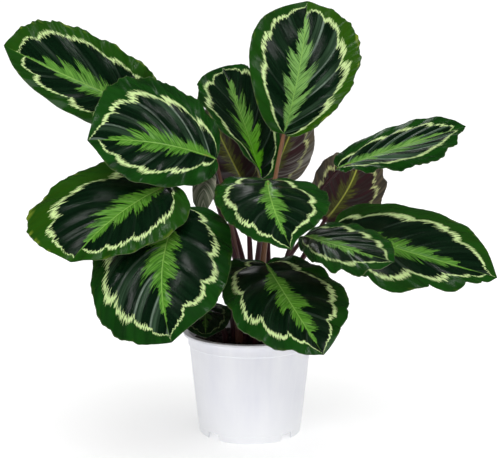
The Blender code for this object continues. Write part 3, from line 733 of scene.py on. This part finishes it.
stalk = dict(
    soilLevel=97, footDepth=7, straight=2, rows=64, sides=18, footRadius=3.3, topRadius=1.9,
    leaveReach=.38, meetReach=.3,            # how far the curve's two handles reach
    underBlade=14, gap=2.75, endGap=.5, endTaper=.62,
    sheath=.8, sheathWidth=.9, sheathTwist=3,
    joint=.12, jointPlace=.965, jointLength=.05)
stalkTan = dict(top=1, upper_right=-.6, lower_left=.3, upper_left=.3)    # how tan, not maroon
stalkColours = dict(
    skin=srgb(72, 28, 38), skinDeep=srgb(42, 18, 24), blotch=srgb(98, 60, 54),
    tan=srgb(96, 62, 42), tanLight=srgb(160, 116, 84), dark=srgb(34, 16, 18),
    joint=srgb(150, 150, 66), foot=srgb(60, 48, 34))


def stalkPath(name):
    # a straight foot, the part's cubic curve, and a run below the midrib that closes up on it
    shape = shapeOf(name)
    base, middle, _, face = midribOf(name)
    along = unit(middle - base)
    end = base - face * stalk["gap"]
    x, y = leafShapes[name]["foot"]
    start = np.array((x, y, stalk["soilLevel"] + stalk["straight"]), float)
    foot = start - (0, 0, stalk["straight"] + stalk["footDepth"])
    reach = np.linalg.norm(end - start)
    arrive = unit(along * shape["pull"] + unit(end - start) * (1 - shape["pull"]))
    leave = start + unit(shape["lean"]) * reach * stalk["leaveReach"]
    meet = end - arrive * reach * stalk["meetReach"]
    t = np.linspace(0, 1, stalk["rows"])[:, None]
    curve = (1 - t) ** 3 * start + 3 * t * (1 - t) ** 2 * leave
    curve = curve + 3 * t ** 2 * (1 - t) * meet + t ** 3 * end
    size = .5 if name in blade["small"] else 1
    t = np.linspace(0, 1, 13)[1:]
    length = np.linalg.norm(np.array(shape["tip"], float) - base)
    share = t * stalk["underBlade"] * size / length
    _, normal, _ = midribFrame(name, share)
    gap = stalk["gap"] + (stalk["endGap"] - stalk["gap"]) * clamped(t * 1.2) ** .8
    run = midribPoints(name, share) - normal * gap[:, None]
    return np.vstack([[foot], curve, run]), len(curve) + 1


def buildStalk(name, material):
    # a tube round the path, with a sheath that winds up its lower part and fades out
    path, bladeRow = stalkPath(name)
    lengths = np.concatenate([[0], np.cumsum(np.linalg.norm(np.diff(path, axis=0), axis=1))])
    share = lengths / lengths[bladeRow]
    taper = stalk["footRadius"] + (stalk["topRadius"] - stalk["footRadius"]) * clamped(share)
    fromJoint = (share - stalk["jointPlace"]) / stalk["jointLength"]
    joint = 1 + stalk["joint"] * np.exp(-fromJoint ** 2)
    close = np.where(share > 1, 1 - stalk["endTaper"] * (share - 1) / (share[-1] - 1), 1)
    radius = taper * joint * close
    tangent = unit(np.gradient(path, axis=0))
    side = unit(np.cross(tangent[2], tangent[bladeRow]) + (1e-3, 2e-3, 0))
    side = unit(side - np.einsum("ij,j->i", tangent, side)[:, None] * tangent)
    other = np.cross(tangent, side)
    turn = np.linspace(0, 2 * np.pi, stalk["sides"], endpoint=False)
    away = np.angle(np.exp(1j * (turn - 1 - stalk["sheathTwist"] * share[:, None])))
    sheath = stalk["sheath"] * clamped(1.3 - share * 1.6)[:, None]
    ring = radius[:, None] * (1 + sheath * np.exp(-(away / stalk["sheathWidth"]) ** 2))
    points = (path[:, None] + ring[..., None] * (np.cos(turn)[None, :, None] * side[:, None]
                                                 + np.sin(turn)[None, :, None] * other[:, None]))
    allPoints = np.vstack([points.reshape(-1, 3), path[0], path[-1] + tangent[-1] * .3]) * mm
    piece = makePiece("stem_" + name, allPoints, tubeFaces(*points.shape[:2]), [material],
                      ["stalk_" + name])
    place = np.stack(np.broadcast_arrays(share[:, None], (np.cos(turn) * .25)[None],
                                         (np.sin(turn) * .25)[None]), -1).reshape(-1, 3)
    addVectors(piece, "stalkSpace", np.vstack([place, (0, 0, 0), (share[-1], 0, 0)]))
    addVectors(piece, "stalkTan", np.full((len(allPoints), 3), stalkTan.get(name, 0)))


def makeStalkMaterial():
    material, mat = startMaterial("stalkSkin", .42, .4)
    space = mat.attribute("stalkSpace")
    share, _, _ = mat.parts(space)
    streaks = mat.noise(space, (6, 22, 22), 4, .6)
    blotches = mat.noise(space, (9, 5, 5), 3, .6)
    tan, _, _ = mat.parts(mat.attribute("stalkTan"))
    c = stalkColours
    colour = mat.mix(mat.step(streaks, .3, .7), c["skin"], c["skinDeep"])
    colour = mat.mix(mat.step(blotches, .5, .75, 0, .5), colour, c["blotch"])
    tanned = mat.mix(streaks, c["tan"], c["tanLight"])
    colour = mat.mix(mat.calc("MAXIMUM", tan, 0), colour, tanned)
    colour = mat.mix(mat.times(tan, -1, clamp=True), colour, c["dark"])
    colour = mat.mix(mat.step(share, 1.0, 1.05, 0, .8), colour, c["joint"])
    colour = mat.mix(mat.step(share, .08, 0, 0, .6), colour, c["foot"])
    mat.set("Base Color", colour)
    mat.bump(streaks, .4, .0006)
    return material


stalkSkin = makeStalkMaterial()
for leafName in leafShapes:
    buildStalk(leafName, stalkSkin)
print("stalks built")


# Pot: a turned wall with a rolled lip and a collar, on a foot ring with four notches

pot = dict(
    height=107, rim=70, lip=3, collar=65.5, collarBottom=93.5, wallTop=63.6, wallTopHeight=92.5,
    base=54.6, footHeight=7.6, foot=54, footWidth=2.8, wall=1.5, floorUnder=8.2, floor=1.6,
    turns=160, notches=(45, 135, 225, 315), notchHalf=8.5, notchTop=7.5, notchHeight=6.6,
    drains=8, drainRadius=3.5, drainCircle=38,
    # the last white is painted light bounced from the floor onto the pot's lower part
    white=srgb(240, 241, 246), whiteDeep=srgb(232, 233, 241), whitePaintedBounce=srgb(250, 251, 254))


def softCorners(profile, size, steps=4):
    # each corner of the profile is rounded by a quadratic curve that starts this far before it
    profile = np.array(profile, float)
    result = [profile[:1]]
    t = np.linspace(0, 1, steps)[:, None]
    for before, corner, after in zip(profile[:-2], profile[1:-1], profile[2:]):
        a = corner + unit(before - corner) * min(size, np.linalg.norm(before - corner) * .45)
        b = corner + unit(after - corner) * min(size, np.linalg.norm(after - corner) * .45)
        result.append(quadratic(a, corner, b, t))
    return np.vstack(result + [profile[-1:]])


def potProfile():
    p = pot
    lipBottom = p["height"] - p["lip"]
    floorTop = p["floorUnder"] + p["floor"]
    inside = [
        (p["base"] - p["wall"] - 1.2, floorTop), (p["base"] - p["wall"] + .3, floorTop + 1.4),
        (p["wallTop"] - p["wall"], p["wallTopHeight"] + .4),
        (p["collar"] - .6 - p["wall"], p["collarBottom"] + .9),
        (p["collar"] - p["wall"], lipBottom + .9), (p["collar"] - p["wall"] + .4, p["height"])]
    outside = [
        (p["rim"], p["height"]), (p["rim"], lipBottom), (p["collar"], lipBottom),
        (p["collar"] - .6, p["collarBottom"]), (p["wallTop"], p["wallTopHeight"]),
        (p["base"], p["footHeight"] + .6), (p["foot"], p["footHeight"]),
        (p["foot"] - .6, .2), (p["foot"] - .9, 0), (p["foot"] - p["footWidth"], 0),
        (p["foot"] - p["footWidth"], p["floorUnder"])]
    return softCorners([(20, floorTop)] + inside + outside + [(20, p["floorUnder"])], .55)


def buildPot(material):
    # radius and height of the profile, carried round; inside a notch the foot's lower edge is
    # lifted to the notch's height, with a slope at its two ends
    p = pot
    edges = np.degrees(np.array([-p["notchHalf"], -p["notchTop"], p["notchTop"], p["notchHalf"]])
                       / p["base"])
    turn = np.linspace(0, 360, p["turns"], endpoint=False)
    turn = np.unique(np.round(np.concatenate(
        [turn] + [angle + edges for angle in p["notches"]]), 4))
    nearest = np.min(np.abs(turn[:, None] - np.array(p["notches"])[None]), axis=1)
    away = np.radians(nearest) * p["base"]
    slope = p["notchHalf"] - p["notchTop"]
    lift = p["notchHeight"] * clamped((p["notchHalf"] - away) / slope)
    radius, height = potProfile().T[..., None]
    z = np.where(height < p["footHeight"] - .1, np.maximum(height, lift + height * .1), height)
    points = turned(radius, np.radians(turn), z)
    poles = [(0, 0, p["floorUnder"] + p["floor"]), (0, 0, p["floorUnder"])]
    allPoints = np.vstack([points.reshape(-1, 3), poles]) * mm
    cutDrains(makePiece("nurseryPot", allPoints, tubeFaces(*points.shape[:2]), [material],
                        ["pot"]))


def cutDrains(piece):
    # the drain holes are cut with plain cylinders, and the cut is kept in the mesh
    p = pot
    shape = bmesh.new()
    for angle in (np.arange(p["drains"]) + .5) * 2 * np.pi / p["drains"]:
        place = turned(p["drainCircle"], angle, p["floorUnder"] + p["floor"] / 2) * mm
        bmesh.ops.create_cone(
            shape, cap_ends=True, segments=24, radius1=p["drainRadius"] * mm,
            radius2=p["drainRadius"] * mm, depth=(p["floor"] + 4) * mm,
            matrix=Matrix.Translation(place))
    mesh = bpy.data.meshes.new("drainCutter")
    shape.to_mesh(mesh)
    shape.free()
    cutter = addObject("drainCutter", mesh)
    cut = piece.modifiers.new("drains", "BOOLEAN")
    cut.operation = "DIFFERENCE"
    cut.object = cutter
    view = bpy.context.evaluated_depsgraph_get()
    piece.data = bpy.data.meshes.new_from_object(piece.evaluated_get(view))
    piece.modifiers.clear()
    bpy.data.objects.remove(cutter)


def makePotMaterial():
    # satin white plastic, a little cool, with faint flow marks and scuffs, and painted light from
    # the floor that lightens its lower part
    material, mat = startMaterial("whitePlastic", .4, .4)
    place = mat.node("ShaderNodeTexCoord", output=3)
    marks = mat.noise(place, (60, 60, 9), 3, .6)
    grain = mat.noise(place, scale=900)
    colour = mat.mix(mat.step(marks, .35, .7), pot["white"], pot["whiteDeep"])
    # the pot is painted lighter towards the bottom below 5 cm, painted light bounced up from the
    # floor
    _, _, height = mat.parts(place)
    colour = mat.mix(mat.step(height, .05, .01, 0, .8), colour, pot["whitePaintedBounce"])
    mat.set("Base Color", colour)
    mat.set("Roughness", mat.step(marks, .3, .7, .34, .48))
    mat.bump(mat.plus(grain, mat.times(marks, 2)), .08, .0006)
    return material


buildPot(makePotMaterial())
print("pot built")


# Soil: a low crown of crumbly peat with loose crumbs

soil = dict(
    centre=97, edge=95, rim=70, brim=61.9, under=86, rings=64, turns=200,
    waves=60, waveSizes=(.12, .3, .7, 1.3), levelled=6,
    crumbs=700, crumbSize=(.5, 1.7), seed=7,
    peat=srgb(14, 11, 9), peatLight=srgb(44, 34, 27), fleck=srgb(96, 76, 56))


def soilHeight(radius):
    return soil["centre"] - (soil["centre"] - soil["edge"]) * (radius / soil["rim"]) ** 2


def buildSoil(material):
    # height is the crown plus a sum of random waves, levelled at the brim; below it the side
    # drops straight down and a floor closes it
    s = soil
    dice = np.random.default_rng(s["seed"])
    radius = np.linspace(0, 1, s["rings"] + 1)[1:] ** .8 * s["brim"]
    turn = np.linspace(0, 2 * np.pi, s["turns"], endpoint=False)
    r, a = np.meshgrid(radius, turn, indexing="ij")
    x, y = r * np.cos(a), r * np.sin(a)
    waves = dice.normal(size=(s["waves"], 2)) * dice.choice(s["waveSizes"], size=(s["waves"], 1))
    phase = dice.uniform(0, 2 * np.pi, s["waves"])
    size = .5 / (1 + 2 * np.linalg.norm(waves, axis=1))
    slopes = x[..., None] * waves[:, 0] + y[..., None] * waves[:, 1]
    bumps = (np.cos(slopes + phase) * size).sum(-1)
    level = clamped((s["brim"] - r) / s["levelled"])
    z = soilHeight(r) + (bumps * .5 - .3) * level - .3
    top = turned(r, a, z)
    low = top[-1:].copy()
    low[..., 2] = s["under"]
    points = np.concatenate([top, low], 0)
    poles = [(0, 0, float(z[0].mean())), (0, 0, s["under"])]
    allPoints = np.vstack([points.reshape(-1, 3), poles]) * mm
    makePiece("peat", allPoints, tubeFaces(*points.shape[:2]), [material], ["soil"])

    # a crumb is a regular solid of 12 corners and 20 faces with its corners pushed about
    golden = (1 + 5 ** .5) / 2
    corners = unit([np.roll((0, i, j * golden), turns)
                    for turns in (0, 2, 1) for i in (-1, 1) for j in (-1, 1)])
    near = np.linalg.norm(corners[:, None] - corners[None], axis=-1) < 1.1
    faces = [(i, j, k) for i in range(12) for j in range(i + 1, 12) for k in range(j + 1, 12)
             if near[i, j] and near[j, k] and near[i, k]]
    faces = np.array([(i, j, k) if np.dot(corners[i], np.cross(corners[j], corners[k])) > 0
                      else (i, k, j) for i, j, k in faces])
    count = s["crumbs"]
    where = np.sqrt(dice.uniform(0, 1, count)) * (s["brim"] - 2.5)
    angle = dice.uniform(0, 2 * np.pi, count)
    centre = turned(where, angle, soilHeight(where) - .2)
    big = dice.uniform(*s["crumbSize"], (count, 1, 1)) * dice.uniform(.7, 1.3, (count, 1, 3))
    lumps = corners[None] * dice.uniform(.7, 1.25, (count, 12, 1)) * big + centre[:, None]
    triangles = (faces[None] + 12 * np.arange(count)[:, None, None]).reshape(-1, 3)
    makePiece("peatCrumbs", lumps.reshape(-1, 3) * mm, (np.zeros((0, 4), int), triangles),
              [material], [])


def makeSoilMaterial():
    material, mat = startMaterial("darkPeat", .9, .25)
    place = mat.node("ShaderNodeTexCoord", output=3)
    lumps = mat.noise(place, detail=5, roughness=.65, scale=420)
    flecks = mat.noise(place, scale=900)
    colour = mat.mix(mat.step(lumps, .35, .7), soil["peat"], soil["peatLight"])
    colour = mat.mix(mat.step(flecks, .68, .74, 0, .6), colour, soil["fleck"])
    mat.set("Base Color", colour)
    mat.bump(lumps, .8, .0015)
    return material


buildSoil(makeSoilMaterial())
print("soil built")


# Floor, light and camera

studio = dict(
    cameraPlace=(0, -1.1, .37), cameraTilt=81.9, lens=77.256,
    floorSize=8, floorColour=(.9, .9, .9, 1), floorGlow=.33,
    skyToCamera=1.0, skyLight=.12, skyGloss=.04,
    suns=(("softSky", 2.3, (.34, -.4, 1)), ("backSky", .7, (.2, .9, 1))), sunAngle=80)
areaLights = {
    # place, the height on the Z axis that it is aimed at, size and power; the strips give gloss
    # alone, and the fill gives none
    "frontFill": ((-1.0, -1.5, .7), .2, (1.2, 1.0), 9.4),
    "stripLeft": ((-.56, -.85, 1.5), .25, (.06, .5), 1.1),
    "stripRight": ((.6, -.65, 1.5), .25, (.07, .6), 1.3),
    "stripTop": ((-.1, 1.15, 1.2), .25, (.1, .6), .55),
}


def aimAt(obj, place, height):
    # the local -Z axis points from place to this height on the Z axis
    forward = unit(np.array((0, 0, height), float) - place)
    right = unit(np.cross(forward, (0, 0, 1)))
    up = np.cross(right, forward)
    obj.matrix_world = Matrix([*np.stack([right, up, -forward, place], 1), (0, 0, 0, 1)])


def buildStudio():
    s = studio
    half = s["floorSize"] / 2
    mesh = bpy.data.meshes.new("floor")
    mesh.from_pydata([(-half, -half, 0), (half, -half, 0), (half, half, 0), (-half, half, 0)], [],
                     [(0, 1, 2, 3)])
    floor = addObject("floor", mesh)
    material, mat = startMaterial("paleFloor", .9, .1)
    mat.set("Base Color", s["floorColour"])
    mat.set("Emission Color", (1, 1, 1, 1))
    mat.set("Emission Strength", s["floorGlow"])
    mesh.materials.append(material)

    for name, energy, place in s["suns"]:
        sun = bpy.data.lights.new(name, "SUN")
        sun.energy, sun.angle = energy, math.radians(s["sunAngle"])
        lamp = addObject(name, sun)
        aimAt(lamp, place, 0)
        lamp.visible_glossy = False
    for name, (place, height, size, power) in areaLights.items():
        data = bpy.data.lights.new(name, "AREA")
        data.shape = "RECTANGLE"
        data.size, data.size_y = size
        data.energy = power
        lamp = addObject(name, data)
        aimAt(lamp, place, height)
        isStrip = name.startswith("strip")
        lamp.visible_diffuse, lamp.visible_glossy = not isStrip, isStrip

    world = bpy.data.worlds.new("studio")
    world.use_nodes = True
    sky = Mixer(world.node_tree, "Background")
    sky.set("Color", (1, 1, 1, 1))
    path = sky.node("ShaderNodeLightPath").node.outputs
    light = sky.step(path["Is Glossy Ray"], 0, 1, s["skyLight"], s["skyGloss"])
    seen = sky.step(path["Is Camera Ray"], 0, 1, 0, s["skyToCamera"])
    sky.set("Strength", sky.plus(light, seen))
    bpy.context.scene.world = world

    camera = addObject("camera", bpy.data.cameras.new("camera"))
    camera.location = s["cameraPlace"]
    camera.rotation_euler = (math.radians(s["cameraTilt"]), 0, 0)
    camera.data.lens = s["lens"]
    camera.data.sensor_width = 36
    camera.data.clip_start, camera.data.clip_end = .05, 50
    bpy.context.scene.camera = camera
    bpy.context.scene.view_settings.view_transform = "Standard"


buildStudio()
print("studio built")
